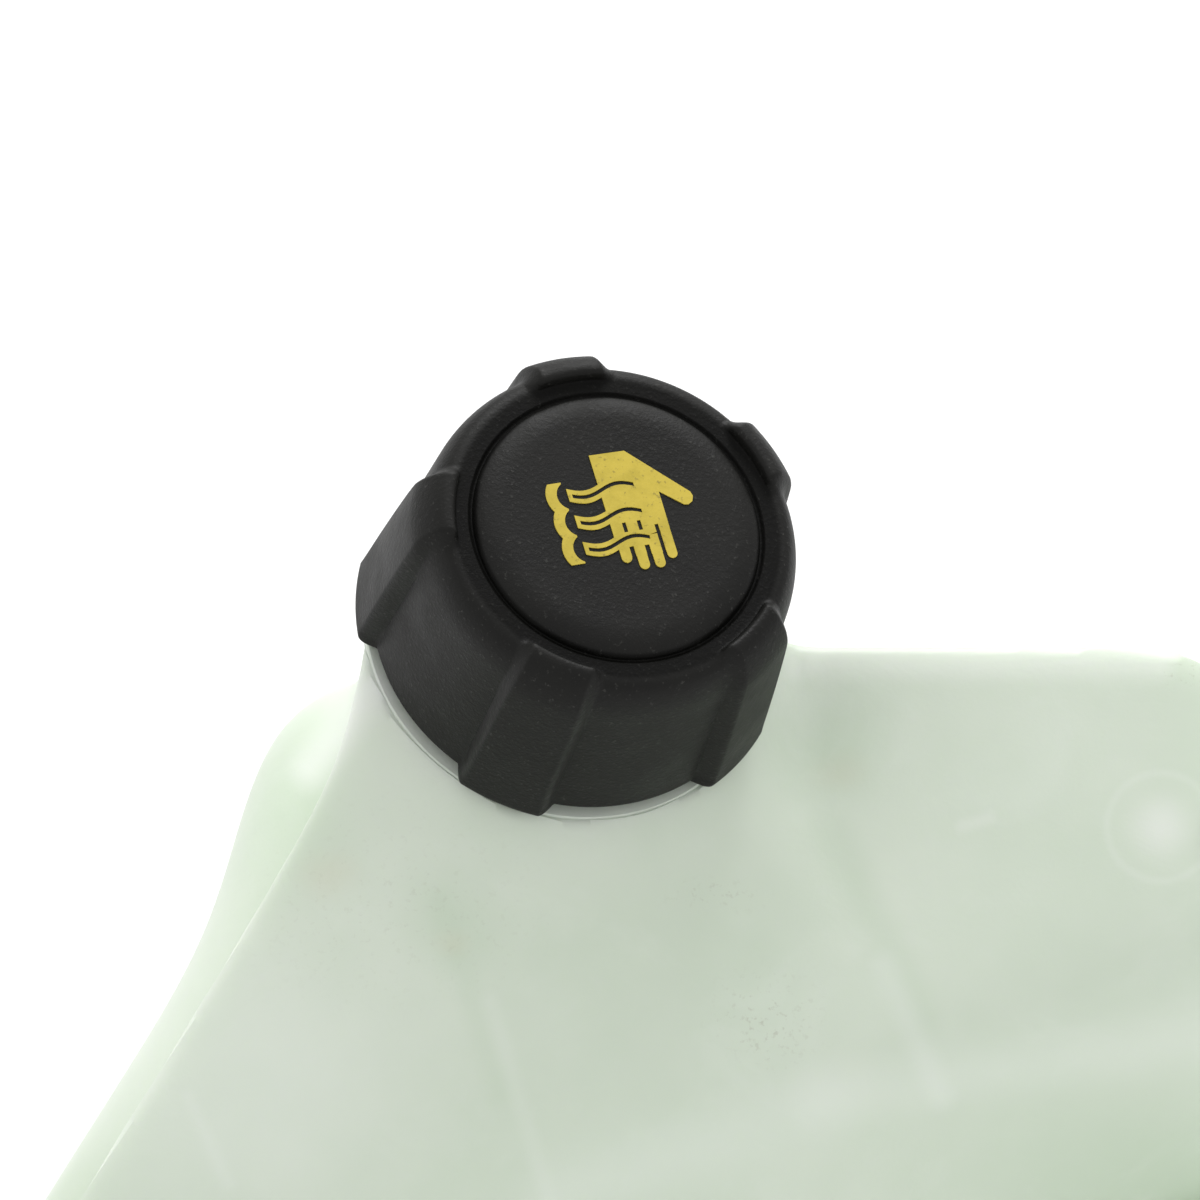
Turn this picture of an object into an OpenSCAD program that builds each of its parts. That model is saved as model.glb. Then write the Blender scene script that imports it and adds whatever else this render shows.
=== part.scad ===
// Coolant expansion tank with its screw cap.
// Frame: +Z up, +X to the right along the ridge, -Y to the front. The origin is the middle of the
// standing face. The neck leans to the front and to the right. Millimetres.

/* [Tank] */
// Thickness of the moulded wall
wall = 2.6; // [2:0.1:3.2]
// Height of the weld seam above the standing face
seam_z = 57; // [52:1:60]
// Width of the weld flange outside the wall
flange_w = 5; // [4:0.5:6]
// Thickness of the weld flange on each half
flange_t = 3; // [2.5:0.5:4]
// Slope of the big face from the horizontal
face_slope = 32; // [30:1:34]
// How far the plane of the big face lies above the neck's platform centre
face_above = -6.8; // [-8:0.2:-6]
// Right end of the tank from the neck's centre
right_reach = 96.5; // [90:0.5:104]
// Rear wall of the long arm behind the neck's centre
rear_reach = 7.6; // [6:0.2:10]
// Front wall ahead of the neck's centre
front_reach = 64.5; // [60:0.5:68]
// Skew of the front wall against the ridge, seen from above
front_skew = 16; // [13:1:19]
// Drop of the left shoulder below the big face
shoulder_drop = 5; // [4:0.5:6]
// Depth of the shoulder's flat top below the neck's platform
shoulder_top = 22.4; // [20:0.2:25]
// Left wall of the shoulder from the neck's centre
shoulder_reach = 51; // [48:0.5:54]
// Rear wall of the neck tower behind the neck's centre
tower_reach = 29; // [28:0.5:32]
// Draft of the side walls, as sideways run for each unit of height
draft = 0.03; // [0.01:0.01:0.05]
// Rounding of the lower edge of the tank
base_round = 5; // [3:0.5:7]

/* [Neck] */
// Centre of the neck's platform, left or right of the origin
neck_x = -8; // [-10:0.5:-6]
// Centre of the neck's platform, behind the origin
neck_y = 28; // [26:0.5:30]
// Centre of the neck's platform above the standing face
neck_z = 137; // [133:1:141]
// Lean of the neck from the vertical
neck_lean = 21.3; // [19:0.1:23]
// Direction of the lean, seen from above
neck_turn = -53.5; // [-58:0.5:-50]
// How far the flat platform round the neck reaches beyond the cap's skirt
platform_edge = 0.5; // [0.3:0.1:1.5]
// Radius of the neck's bore
neck_bore = 19.8; // [19.4:0.1:20.2]
// Radius of the neck's tube under the thread
neck_tube = 22.4; // [22.2:0.1:22.6]
// Height of the neck above the platform
neck_h = 23; // [22:0.5:24]
// Pitch of the screw thread
pitch = 4; // [3.5:0.5:4.5]
// Height of the thread ridges
thread_h = 1.4; // [1.2:0.1:1.5]

/* [Cap] */
// Height of the cap's flat ring above the platform
cap_top = 33; // [32:0.5:34]
// Gap between the cap's skirt and the platform
cap_gap = 2.2; // [1.8:0.1:3]
// Play between the cap's bore and the neck's thread
cap_play = 0.6; // [0.5:0.05:0.8]
// Wall of the cap's skirt at the shoulder
shoulder_wall = 2.4; // [2.2:0.1:3]
// Growth of the skirt's radius from the shoulder to its lower edge
skirt_flare = 1.7; // [1:0.1:2.2]
// How far the shoulder rounds inwards to the flat ring
shoulder_run = 3.5; // [3:0.1:4]
// Width of the flat ring round the raised disc
ring_w = 2.8; // [2.2:0.1:3.4]
// Height of the raised disc above the flat ring
disc_h = 1.5; // [1:0.1:2]
// Wall of the cap's skirt and roof
cap_wall = 2.5; // [2.2:0.1:2.8]
// Width of the raised disc's rounded edge
disc_round = 4.6; // [3:0.2:6]
// Number of grip lugs
lug_count = 5; // [3:1:6]
// Width of a grip lug at its inner end
lug_w = 11; // [9:0.5:12]
// Growth of a grip lug's width to its lower end
lug_flare = 3.4; // [1:0.2:4]
// How far a grip lug stands out of the skirt
lug_out = 2.4; // [2:0.1:3]
// How far a grip lug stands above the flat ring
lug_up = 2.1; // [1.5:0.1:2.6]
// Turn of the first grip lug about the neck
lug_turn = 18; // [0:1:71]
// Height of the yellow inlay above the disc
inlay_up = 0.15; // [0.1:0.05:0.4]

/* [Valve] */
// Running clearance between the sealing ring and the neck's bore
seal_clear = 0.05; // [0.02:0.01:0.09]
// Radius of the sealing ring's section
seal_r = 1.6; // [1.4:0.1:1.8]
// Lift of the over-pressure valve
relief_lift = 2.5; // [2:0.1:3]
// Opening of the vacuum valve
vacuum_drop = 1.5; // [1:0.1:1.8]
// Radius of the hole under the over-pressure valve
seat_hole = 9; // [8.6:0.1:9.4]
// Wire radius of the over-pressure spring
relief_wire = 0.9; // [0.7:0.05:1]
// Wire radius of the vacuum spring
vacuum_wire = 0.25; // [0.2:0.05:0.3]

/* [Hoses and mounting] */
// Outer radius of the outlet spigot
outlet_r = 9.5; // [8.5:0.5:10.5]
// Outer radius of the vent spigot
vent_r = 4; // [3.5:0.25:4.5]
// Length of the spigots beyond the wall
spigot_l = 26; // [22:1:30]
// Radius of the hole in a mounting ear
ear_hole = 7.2; // [6.8:0.1:7.6]
// Thickness of a mounting ear
ear_t = 4; // [3.5:0.5:5]
// Radius of the bolt hole in the steel sleeves
bolt_r = 3.3; // [3:0.05:3.5]

/* [Hidden] */

// Rows from the flange to the neck and from the flange to the floor, outside and inside
upper_rows = 19;
cavity_rows = 9;
lower_rows = 10;
bowl_rows = 6;
halvings = 15;

// The plan's corners seen from the tank's heart, and how the meridians are shared out between them
corner_turns = [-7, 19, 47, 60, 134, 218, 353];
shares = [8, 6, 6, 18, 14, 20];
crowding = 0.6;

// The neck's frame
neck_at = [neck_x, neck_y, neck_z];
cap_bore = neck_tube + thread_h + cap_play;
shoulder_r = cap_bore + shoulder_wall;
skirt_r = shoulder_r + skirt_flare;
ring_r = shoulder_r - shoulder_run;
disc_r = ring_r - ring_w;
neck_axis = [sin(neck_lean) * cos(neck_turn), sin(neck_lean) * sin(neck_turn), cos(neck_lean)];

// The point from which the upper wall is measured out, in the seam's plane
heart = [neck_x + 4, neck_y - 24, seam_z];

// Rounding of the edges between the walls: log-sum-exp widths, a radius is about 2.4 times these
ridge_soft = 1.8;
end_soft = 3.6;
edge_soft = 1.2;
crease_soft = 4;
shoulder_soft = 8.5;
valley_soft = 4;
flare_soft = 10;

// The flare that carries the neck's platform forward into the big face
flare_front = 60;
flare_back = 3;
flare_turn = 22;
flare_dir = let (d = [-sin(flare_turn), -cos(flare_turn), 0], c = d - (d * neck_axis) * neck_axis)
    c / norm(c);
platform_r = skirt_r + platform_edge;
tower_r = platform_r - 1.5;
tower_side = platform_r - 1;
flat_drop = 0.4;
pocket_rise = 1.1;
pocket_r = skirt_r + lug_out + 2.6;

// Left wall of the face: the bend lies ahead of the neck, where the wall starts to run out forwards
bend_x = 31.5;
bend_y = 20;
bend_in = 12;
bend_out = 39.5;
deck_bend_y = 18;
deck_in = 8.5;
deck_out = 37;
deck_bend_soft = 3.7;
arm_start = 34;

function smooth_max(a, b, k) = let (m = max(a, b)) m + k * ln(exp((a - m) / k) + exp((b - m) / k));
function smooth_min(a, b, k) = let (t = max(0, min(1, 0.5 + 0.5 * (b - a) / k)))
    b * (1 - t) + a * t - k * t * (1 - t);
function ease(a, b, x) = let (t = max(0, min(1, (x - a) / (b - a)))) t * t * (3 - 2 * t);

// A left wall bent in plan: straight stretches at two angles, measured from the corner (x, y)
function bent_wall(p, x, y, inward, outward, k) = let (
        dx = neck_x - x - p.x, dy = neck_y - y - p.y,
        back = dx * cos(inward) - dy * sin(inward),
        fore = dx * cos(outward) - dy * sin(outward))
    -smooth_max(-back, -fore, k);

function roof_plane(p, drop) = (p - neck_at) * [0, -sin(face_slope), cos(face_slope)] - face_above + drop;
function front_wall(p) = (p.x - neck_x) * sin(front_skew) - (p.y - neck_y + front_reach) * cos(front_skew)
    + 2 * draft * (p.z - seam_z);

// Distance from the tank's outer skin, negative inside: the face, the shoulder and the neck tower
function skin(p) = let (
        q = p - neck_at, h = q * neck_axis, across = q - h * neck_axis, r = norm(across),
        up = draft * (p.z - seam_z),
        lean = (across * flare_dir) / max(r, 0.001),
        half = flare_back + (flare_front - flare_back) * ease(-0.45, 0.35, lean),
        flare = (r - platform_r) * cos(half) + h * sin(half),
        top = smooth_min(roof_plane(p, 0), flare, flare_soft),
        face_1 = smooth_max(top, front_wall(p), crease_soft),
        face_2 = smooth_max(face_1, q.y - rear_reach + up, ridge_soft),
        face_3 = smooth_max(face_2, q.x - right_reach + up, end_soft),
        face = smooth_max(face_3, bent_wall(p, bend_x, bend_y, bend_in, bend_out, 2), edge_soft),
        deck_left = bent_wall(p, shoulder_reach, deck_bend_y, deck_in, deck_out, deck_bend_soft),
        deck_1 = smooth_max(roof_plane(p, shoulder_drop), q.z + shoulder_top, 5),
        deck_2 = smooth_max(deck_1, deck_left, shoulder_soft),
        deck_3 = smooth_max(deck_2, q.y - tower_reach + up, shoulder_soft),
        deck_4 = smooth_max(deck_3, q.x - arm_start, shoulder_soft),
        deck = smooth_max(deck_4, front_wall(p) + 0.5, shoulder_soft),
        tower_1 = smooth_max((r - tower_r) * cos(flare_back) + h * sin(flare_back), h, 1),
        tower_2 = smooth_max(smooth_max(tower_1, q.y - tower_reach, 1), deck_left + 4, 3),
        tower = smooth_max(tower_2, -q.x - tower_side, 1.5),
        body = smooth_min(smooth_min(face, deck, valley_soft), tower, 3),
        pocket = h + flat_drop - pocket_rise * ease(platform_r - 0.4, platform_r + 0.6, r))
    smooth_max(body, min(pocket, pocket_r - r), flat_drop);

// Distance from the lower half's skin: the seam's outline with draft, closed by a floor a little too
// low, which is cut flat afterwards
floor_sunk = 0.4;
function bowl(p) = smooth_max(
    skin([p.x, p.y, seam_z]) + draft * (seam_z - p.z), -floor_sunk - p.z, base_round);

function unit(v) = v / norm(v);
function around(a) = [cos(a), sin(a), 0];

// Angles of the meridians, crowded towards the plan's corners
function spread() = [for (n = [0:len(shares) - 1], i = [0:shares[n] - 1])
    let (t = i / shares[n], u = t - crowding * sin(360 * t) / (2 * PI))
    corner_turns[n] + (corner_turns[n + 1] - corner_turns[n]) * u];

// The point on the ray from a start point where the skin has the wanted distance, found by halving
function skin_at(from, dir, want, low, high, n) = n == 0 ? from + dir * (low + high) / 2 :
    let (mid = (low + high) / 2)
    skin(from + dir * mid) < want ? skin_at(from, dir, want, mid, high, n - 1)
        : skin_at(from, dir, want, low, mid, n - 1);
function bowl_at(from, dir, want, low, high, n) = n == 0 ? from + dir * (low + high) / 2 :
    let (mid = (low + high) / 2)
    bowl(from + dir * mid) < want ? bowl_at(from, dir, want, mid, high, n - 1)
        : bowl_at(from, dir, want, low, mid, n - 1);

reach_max = 190;
function on_skin(from, dir, want) = skin_at(from, dir, want, 0, reach_max, halvings);
function on_bowl(from, dir, want) = bowl_at(from, dir, want, 0, reach_max, halvings);

// Rings of points from the top down: over the upper half, and at a level of either half
upper_from = heart + [0, 0, flange_t];
upper_pole = unit(neck_at - upper_from);
function dome_ring(turns, t, want) = [for (a = turns)
    on_skin(upper_from, unit(around(a) * cos(t) + upper_pole * sin(t)), want)];
function level_ring(turns, z, want) = [for (a = turns) on_skin([heart.x, heart.y, z], around(a), want)];
function bowl_ring(turns, z, want) = [for (a = turns) on_bowl([heart.x, heart.y, z], around(a), want)];
function heart_at(z) = [heart.x, heart.y, z];

// Levels of the lower half's rings, closer together towards the floor
function sinking(from, floor, n) = [for (i = [0:n - 1]) floor + (from - floor) * pow(1 - i / n, 2.4)];

// A closed skin over rings of points, from a point at the top to a point at the bottom
module ringed_solid(first, rings, last) {
    n = len(rings[0]);
    count = len(rings);
    points = concat([first], [for (r = rings) each r], [last]);
    end = len(points) - 1;
    faces = concat(
        [for (i = [0:n - 1]) [0, 1 + (i + 1) % n, 1 + i]],
        [for (k = [0:count - 2], i = [0:n - 1]) let (a = 1 + k * n + i, b = 1 + k * n + (i + 1) % n)
            each [[a, b, b + n], [a, b + n, a + n]]],
        [for (i = [0:n - 1]) let (a = 1 + (count - 1) * n + i, b = 1 + (count - 1) * n + (i + 1) % n)
            [a, b, end]]);
    polyhedron(points, faces, convexity = 8);
}

module upper_body() {
    turns = spread();
    ringed_solid(on_skin(upper_from, upper_pole, 0), concat(
        [for (row = [upper_rows - 1:-1:0]) dome_ring(turns, row * 90 / upper_rows, 0)],
        [for (z = [seam_z + flange_t, seam_z]) level_ring(turns, z, flange_w)],
        [level_ring(turns, seam_z, -wall)],
        [for (row = [0:cavity_rows - 1]) dome_ring(turns, row * 90 / cavity_rows, -wall)]),
        on_skin(upper_from, upper_pole, -wall));
}

module lower_body() {
    turns = spread();
    low = seam_z - flange_t;
    inner_floor = wall - floor_sunk;
    inside = sinking(low, inner_floor, bowl_rows);
    ringed_solid(heart_at(inner_floor), concat(
        [for (i = [bowl_rows - 1:-1:0]) bowl_ring(turns, inside[i], -wall)],
        [level_ring(turns, seam_z, -wall)],
        [for (z = [seam_z, low]) level_ring(turns, z, flange_w)],
        [for (z = sinking(low, -floor_sunk, lower_rows)) bowl_ring(turns, z, 0)]), heart_at(-floor_sunk));
}

// Puts what is drawn along +Z onto the neck's axis, from the platform's centre
module on_neck() {
    translate(neck_at) rotate([0, neck_lean, neck_turn]) children();
}

// A helical ridge of trapezoid section: radius of its root, height outward (negative inward)
thread_low = neck_h - 14.5;
thread_turns = 1.9;
thread_foot = 2.2;
thread_crest = 0.8;
thread_steps = 36;
module helix_ridge(root, height, low) {
    bite = height > 0 ? 0.4 : -0.4;
    steps = ceil(thread_turns * thread_steps);
    points = [for (i = [0:steps])
        let (a = i * 360 / thread_steps, z = low + pitch * i / thread_steps,
            fade = min(1, 0.15 + 0.85 * min(i, steps - i) / (thread_steps / 8)))
        each [for (s = [[root - bite, -thread_foot / 2], [root + height * fade, -thread_crest / 2],
                [root + height * fade, thread_crest / 2], [root - bite, thread_foot / 2]])
            [s[0] * cos(a), s[0] * sin(a), z + s[1]]]];
    last = steps * 4;
    sides = [for (i = [0:steps - 1], j = [0:3]) let (a = i * 4 + j, b = i * 4 + (j + 1) % 4)
        each [[a, b, b + 4], [a, b + 4, a + 4]]];
    ends = [[0, 2, 1], [0, 3, 2], [last, last + 1, last + 2], [last, last + 2, last + 3]];
    faces = concat(sides, ends);
    polyhedron(points, height > 0 ? faces : [for (f = faces) [f[2], f[1], f[0]]], convexity = 6);
}

// Inner plates of the tank stand square to the front wall
plate_t = 1.8;
plate_x = [-15.5, 44.5];
plate_rays = 22;
plate_bite = 0.8;
plate_skew = front_skew + 8;
plate_dir = [sin(plate_skew), -cos(plate_skew), 0];
flow_hole = 6;

module baffle(offset, top) {
    from = [neck_x + offset, neck_y - 34, seam_z + (top ? 0.4 : -0.4)];
    sign = top ? 1 : -1;
    outline = [for (i = [0:plate_rays]) let (a = i * 180 / plate_rays, d = plate_dir * cos(a) + [0, 0, sign * sin(a)],
            hit = top ? on_skin(from, d, plate_bite - wall) : on_bowl(from, d, plate_bite - wall), way = hit - from)
        [way * plate_dir, way.z]];
    translate(from) rotate([90, 0, atan2(plate_dir.y, plate_dir.x)]) difference() {
        translate([0, 0, -plate_t / 2]) linear_extrude(plate_t) polygon(outline);
        translate([-18, sign * 14, -plate_t]) cylinder(r = flow_hole, h = 2 * plate_t, $fn = 32);
        translate([14, sign * 12, -plate_t]) cylinder(r = flow_hole, h = 2 * plate_t, $fn = 32);
    }
}

// A hose spigot along +Z: root boss and a plain pipe with a tapered end
boss_w = 2;
boss_h = 2.6;
taper = 1.2;
module spigot(r, l) {
    rotate_extrude($fn = 48) polygon([[0, -4], [r + boss_w, -4], [r + boss_w, boss_h - boss_w], [r, boss_h],
        [r, l - taper], [r - taper / 2, l], [0, l]]);
}

// Places of the vent spigot on the right end and of the outlet spigot in the rear notch
vent_y = 10;
vent_z = 112;
vent_at = on_skin([heart.x, vent_y, vent_z], [1, 0, 0], 0);
vent_bore = vent_r - 1.5;
outlet_x = 55;
outlet_z = 19;
outlet_at = on_bowl([outlet_x, heart.y, outlet_z], [0, 1, 0], 0);
outlet_bore = outlet_r - 2;

// The ring and the button that the moulding gate leaves on the big face
mark_x = 76;
mark_y = 9.6;
mark_at = on_skin([mark_x, mark_y, seam_z], [0, 0, 1], 0);
mark_r = 7.6;
mark_proud = 0.2;
button_r = 4;

module upper_shell() color([0.81, 0.86, 0.79]) {
    difference() {
        union() {
            upper_body();
            for (x = plate_x) baffle(x, true);
            on_neck() {
                translate([0, 0, -8]) cylinder(r = neck_tube, h = neck_h + 8, $fn = 96);
                translate([0, 0, -2.8]) cylinder(r = platform_r, h = 2.8, $fn = 96);
                helix_ridge(neck_tube, thread_h, thread_low);
            }
            translate(vent_at) rotate([0, 90, 0]) spigot(vent_r, spigot_l - 4);
            translate(mark_at) rotate([face_slope, 0, 0]) {
                rotate_extrude($fn = 48) translate([mark_r, mark_proud - 0.5]) circle(r = 0.5, $fn = 16);
                translate([0, 0, -1.2]) cylinder(r = button_r, h = 1.2 + mark_proud, $fn = 32);
            }
        }
        on_neck() translate([0, 0, -12]) cylinder(r = neck_bore, h = neck_h + 20, $fn = 96);
        translate(vent_at) rotate([0, 90, 0]) translate([0, 0, -8])
            cylinder(r = vent_bore, h = spigot_l + 12, $fn = 32);
    }
}

// Mounting ears: a tongue on the weld flange with a hole for the rubber bush, [x, y, direction]
ear_r = ear_hole + 4;
ear_sunk = 0.8;
ear_z = seam_z - flange_t + ear_sunk - ear_t;
ear_l = 17;
left_ear_at = on_skin([neck_x - 28, heart.y, seam_z], [0, 1, 0], 0) + [0, ear_l, 0];
right_ear_at = on_skin([heart.x, heart.y + 8, seam_z], [1, 0, 0], 0) + [ear_l, 0, 0];

module ear(at, turn) {
    translate([at.x, at.y, ear_z]) rotate([0, 0, turn]) difference() {
        union() {
            cylinder(r = ear_r, h = ear_t, $fn = 64);
            translate([-ear_l - 1.2, -ear_r, 0]) cube([ear_l + 1.2, 2 * ear_r, ear_t]);
            for (y = [-ear_r, ear_r - 2.4]) translate([-ear_l - 1.2, y + 2.4, 0.5]) rotate([90, 0, 0])
                linear_extrude(2.4) polygon([[0, 0], [ear_l - 3, 0], [0, -14]]);
        }
        translate([0, 0, -1]) cylinder(r = ear_hole, h = ear_t + 2, $fn = 64);
    }
}

module lower_shell() color([0.79, 0.84, 0.77]) {
    difference() {
        union() {
            lower_body();
            for (x = plate_x) baffle(x, false);
            translate(outlet_at) rotate([-90, 0, 0]) spigot(outlet_r, spigot_l);
            ear(left_ear_at, 90);
            ear(right_ear_at, 0);
        }
        translate(outlet_at) rotate([-90, 0, 0]) translate([0, 0, -8])
            cylinder(r = outlet_bore, h = spigot_l + 12, $fn = 48);
        translate([-200, -200, -20]) cube([400, 400, 20]);
    }
}

// Heights along the neck, from the platform
skirt_low = cap_gap;
roof_low = cap_top - cap_wall;
flange_low = neck_h + 0.3;
flange_h = 2.4;
cover_low = flange_low + flange_h;
cover_h = 1.6;
carrier_r = neck_bore - 0.5;
carrier_in = carrier_r - 2.6;
relief_r = carrier_in - 2.6;
relief_spring_r = relief_r - 3.7;
boss_r = relief_spring_r - relief_wire - 1.1;
carrier_low = 4;
seat_h = 2;
seal_low = carrier_low + seat_h;
seal_h = 1.6;
plate_low = seal_low + seal_h;
relief_h = 1.6;
plate_top = plate_low + relief_h;
o_ring_z = 14;
bead_r = neck_tube + cap_play;

// Outer half of the cap's section: skirt, shoulder, flat ring, groove and raised disc
shoulder_h = 5.4;
groove_w = 0.5;
edge_h = disc_h + 0.3;
function shoulder_arc() = [for (i = [0:8]) let (a = i * 90 / 8)
    [ring_r + (shoulder_r - ring_r) * cos(a), cap_top - shoulder_h * (1 - sin(a))]];
function cap_outline() = concat(
    [[cap_bore, skirt_low], [skirt_r - 0.3, skirt_low], [skirt_r, skirt_low + 0.3]],
    shoulder_arc(),
    [[disc_r + groove_w, cap_top]],
    [for (i = [0:8]) let (a = i * 90 / 8)
        [disc_r - disc_round * (1 - cos(a)), cap_top + disc_h - edge_h * (1 - sin(a))]],
    [[0, cap_top + disc_h], [0, roof_low], [carrier_r - 2, roof_low], [carrier_r - 2, cover_low + cover_h + 0.1],
        [carrier_r, cover_low + cover_h + 0.1], [carrier_r, roof_low], [cap_bore, roof_low],
        [cap_bore, flange_low - 0.1], [bead_r, flange_low - 0.1], [cap_bore, flange_low - 0.9]]);

// Section of a grip lug, in radius and height, and its outline seen along the neck
function lug_outline() = [[ring_r - 2, roof_low + 0.8], [ring_r - 2, cap_top - 0.8],
    [ring_r - 0.2, cap_top - 0.5], [ring_r - 0.1, cap_top + 0.4],
    [ring_r + 1.5, cap_top + lug_up], [shoulder_r - 0.6, cap_top + lug_up - 0.3],
    [shoulder_r + lug_out - 1.4, cap_top - 0.7], [shoulder_r + lug_out - 0.5, cap_top - 3],
    [skirt_r + lug_out, skirt_low + 0.2], [skirt_r + lug_out - 0.6, skirt_low - lug_low],
    [skirt_r - 0.8, skirt_low - lug_low], [skirt_r - 1.2, skirt_low + 2], [shoulder_r - 1.3, roof_low - 4],
    [shoulder_r - 1.8, roof_low + 0.8]];
lug_low = 0.6;
lug_half = lug_w / 2;
lug_end = skirt_r + lug_out + 1;
function lug_plan() = [[ring_r - 3, -lug_half], [ring_r, -lug_half], [lug_end - 3, -lug_half - lug_flare / 4],
    [lug_end - 0.8, -lug_half - lug_flare / 6], [lug_end, 0.6 - lug_half], [lug_end, lug_half - 0.6],
    [lug_end - 0.8, lug_half + lug_flare / 6], [lug_end - 3, lug_half + lug_flare / 4],
    [ring_r, lug_half], [ring_r - 3, lug_half]];

// The inlay's outline, drawn upright: a hand with the thumb to the right, three waves and a plume
inlay_turn = 71.7;
wave_gap = 4.2;
wave_top = 5.3;
wave_swing = 0.68;
wave_line = 0.6;
wave_band = 2;
inlay_deep = 0.5;
function wave(y, from, to, n) = [for (i = [0:n]) let (x = from + (to - from) * i / n)
    [x, y - wave_swing * sin((x + 6.1) * 36)]];
module wave_strip(y, from, to, width) {
    mid = wave(y, from, to, 14);
    polygon(concat([for (p = mid) p + [0, width / 2]],
        [for (i = [len(mid) - 1:-1:0]) mid[i] - [0, width / 2]]));
}
module finger(x, y, w) {
    translate([x, y]) circle(d = w, $fn = 16);
    translate([x - w / 2, y]) square([w, 4]);
}
module plume(y) {
    intersection() {
        translate([-5.4, y]) difference() {
            circle(r = 3.9, $fn = 40);
            circle(r = 2.3, $fn = 40);
        }
        translate([-10.4, y - wave_gap / 2 - 0.1]) square([3.8, wave_gap + 0.2]);
    }
}
module inlay_outline() {
    difference() {
        union() {
            polygon([[-1.4, 10.8], [3.8, 10.7], [11.4, 2.9], [11.6, 2.2], [11.3, 1.4], [10.6, 1], [10, 1.1],
                [6.95, 3.7], [6.9, -2], [-1.4, -3.6]]);
            finger(6.15, -6, 1.45);
            finger(4.05, -7.1, 1.5);
            finger(1.75, -7, 1.5);
            finger(-0.5, -5.6, 1.5);
            translate([-1.25, -5.6]) square([8.1, 3]);
            for (k = [0:2]) wave_strip(wave_top - k * wave_gap, -6.1, 0.2, wave_band);
        }
        for (k = [0:2]) wave_strip(wave_top - k * wave_gap, -5.5, 3.7, wave_line);
        translate([4.85, -7.5]) square([0.55, 6.3]);
        translate([2.55, -7.5]) square([0.7, 3.4]);
        translate([0.3, -7.5]) square([0.65, 3.5]);
        for (x = [0.3, 2.5]) translate([x, -1.7]) square([0.55, 1.5]);
    }
    for (k = [0:2]) plume(wave_top - 0.1 - k * wave_gap);
}

module inlay_place() {
    on_neck() translate([0, 0, cap_top + disc_h - inlay_deep]) rotate([0, 0, inlay_turn]) children();
}

module cap_shell() color([0.16, 0.16, 0.15]) {
    difference() {
        on_neck() {
            rotate_extrude($fn = 96) polygon(cap_outline());
            for (i = [0:lug_count - 1]) rotate([0, 0, lug_turn + i * 360 / lug_count]) intersection() {
                rotate_extrude($fn = 96) polygon(lug_outline());
                linear_extrude(cap_top + 8) polygon(lug_plan());
            }
            rotate([0, 0, 180]) helix_ridge(cap_bore, -thread_h, thread_low);
        }
        inlay_place() linear_extrude(inlay_deep + 1) inlay_outline();
    }
}

module hot_symbol() color([0.82, 0.73, 0.31]) {
    inlay_place() linear_extrude(inlay_deep + inlay_up) inlay_outline();
}

groove_d = 2 * seal_r;
window_z = (o_ring_z + seal_r + flange_low) / 2;
module valve_carrier() color([0.2, 0.2, 0.2]) on_neck() {
    difference() {
        rotate_extrude($fn = 96) polygon([[seat_hole, carrier_low], [carrier_r - 0.8, carrier_low],
            [carrier_r, carrier_low + 1.5], [carrier_r, o_ring_z - seal_r - 0.1],
            [neck_bore - seal_clear - groove_d, o_ring_z - seal_r - 0.1],
            [neck_bore - seal_clear - groove_d, o_ring_z + seal_r + 0.1],
            [carrier_r, o_ring_z + seal_r + 0.1], [carrier_r, flange_low], [cap_bore - 0.4, flange_low],
            [cap_bore - 0.4, cover_low], [carrier_in - 0.6, cover_low], [carrier_in - 0.6, seal_low],
            [seat_hole, seal_low]]);
        for (a = [0:60:300]) rotate([0, 0, a]) translate([0, 0, window_z]) rotate([0, 90, 0])
            cylinder(r = 1.6, h = 2 * carrier_r, $fn = 24);
    }
}

module spring_cover() color([0.22, 0.22, 0.22]) on_neck() translate([0, 0, cover_low]) difference() {
    union() {
        cylinder(r = cap_bore - 0.6, h = cover_h, $fn = 96);
        translate([0, 0, -3]) cylinder(r = boss_r, h = 3.2, $fn = 48);
    }
    translate([0, 0, -4]) cylinder(r = boss_r - 2, h = 4, $fn = 48);
    for (a = [0:60:300]) rotate([0, 0, a]) translate([relief_r - 0.5, 0, -1]) cylinder(r = 1.5, h = 4, $fn = 24);
}

module neck_o_ring() color([0.09, 0.09, 0.09]) on_neck() translate([0, 0, o_ring_z])
    rotate_extrude($fn = 96) translate([neck_bore - seal_clear - seal_r, 0]) circle(r = seal_r, $fn = 24);

// Valve in the middle: seal ring on the seat, plate, spring, and the small poppet through the plate
poppet_r = 6;
stem_r = 1.6;
stem_hole = 1.9;
vacuum_room = vacuum_drop + 2.9;
clip_low = plate_top + vacuum_room;
clip_h = 0.8;

module relief_seal() color([0.1, 0.1, 0.1]) on_neck() translate([0, 0, seal_low])
    rotate_extrude($fn = 72) polygon([[seat_hole + 1.4, 0], [seat_hole + 0.4, 0.7], [seat_hole + 0.4, seal_h],
        [relief_r - 0.6, seal_h], [relief_r - 0.6, 0.7], [relief_r - 1.6, 0]]);

module relief_plate() color([0.72, 0.72, 0.7]) on_neck() translate([0, 0, plate_low]) difference() {
    union() {
        cylinder(r = relief_r, h = relief_h, $fn = 72);
        cylinder(r = boss_r - 0.2, h = relief_h + 1.2, $fn = 48);
    }
    translate([0, 0, relief_h]) cylinder(r = boss_r - 1.4, h = 3, $fn = 48);
    translate([0, 0, -1]) cylinder(r = stem_hole, h = 6, $fn = 24);
    for (a = [0:60:300]) rotate([0, 0, a]) translate([3.7, 0, -1]) cylinder(r = 0.9, h = 4, $fn = 16);
}

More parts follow.
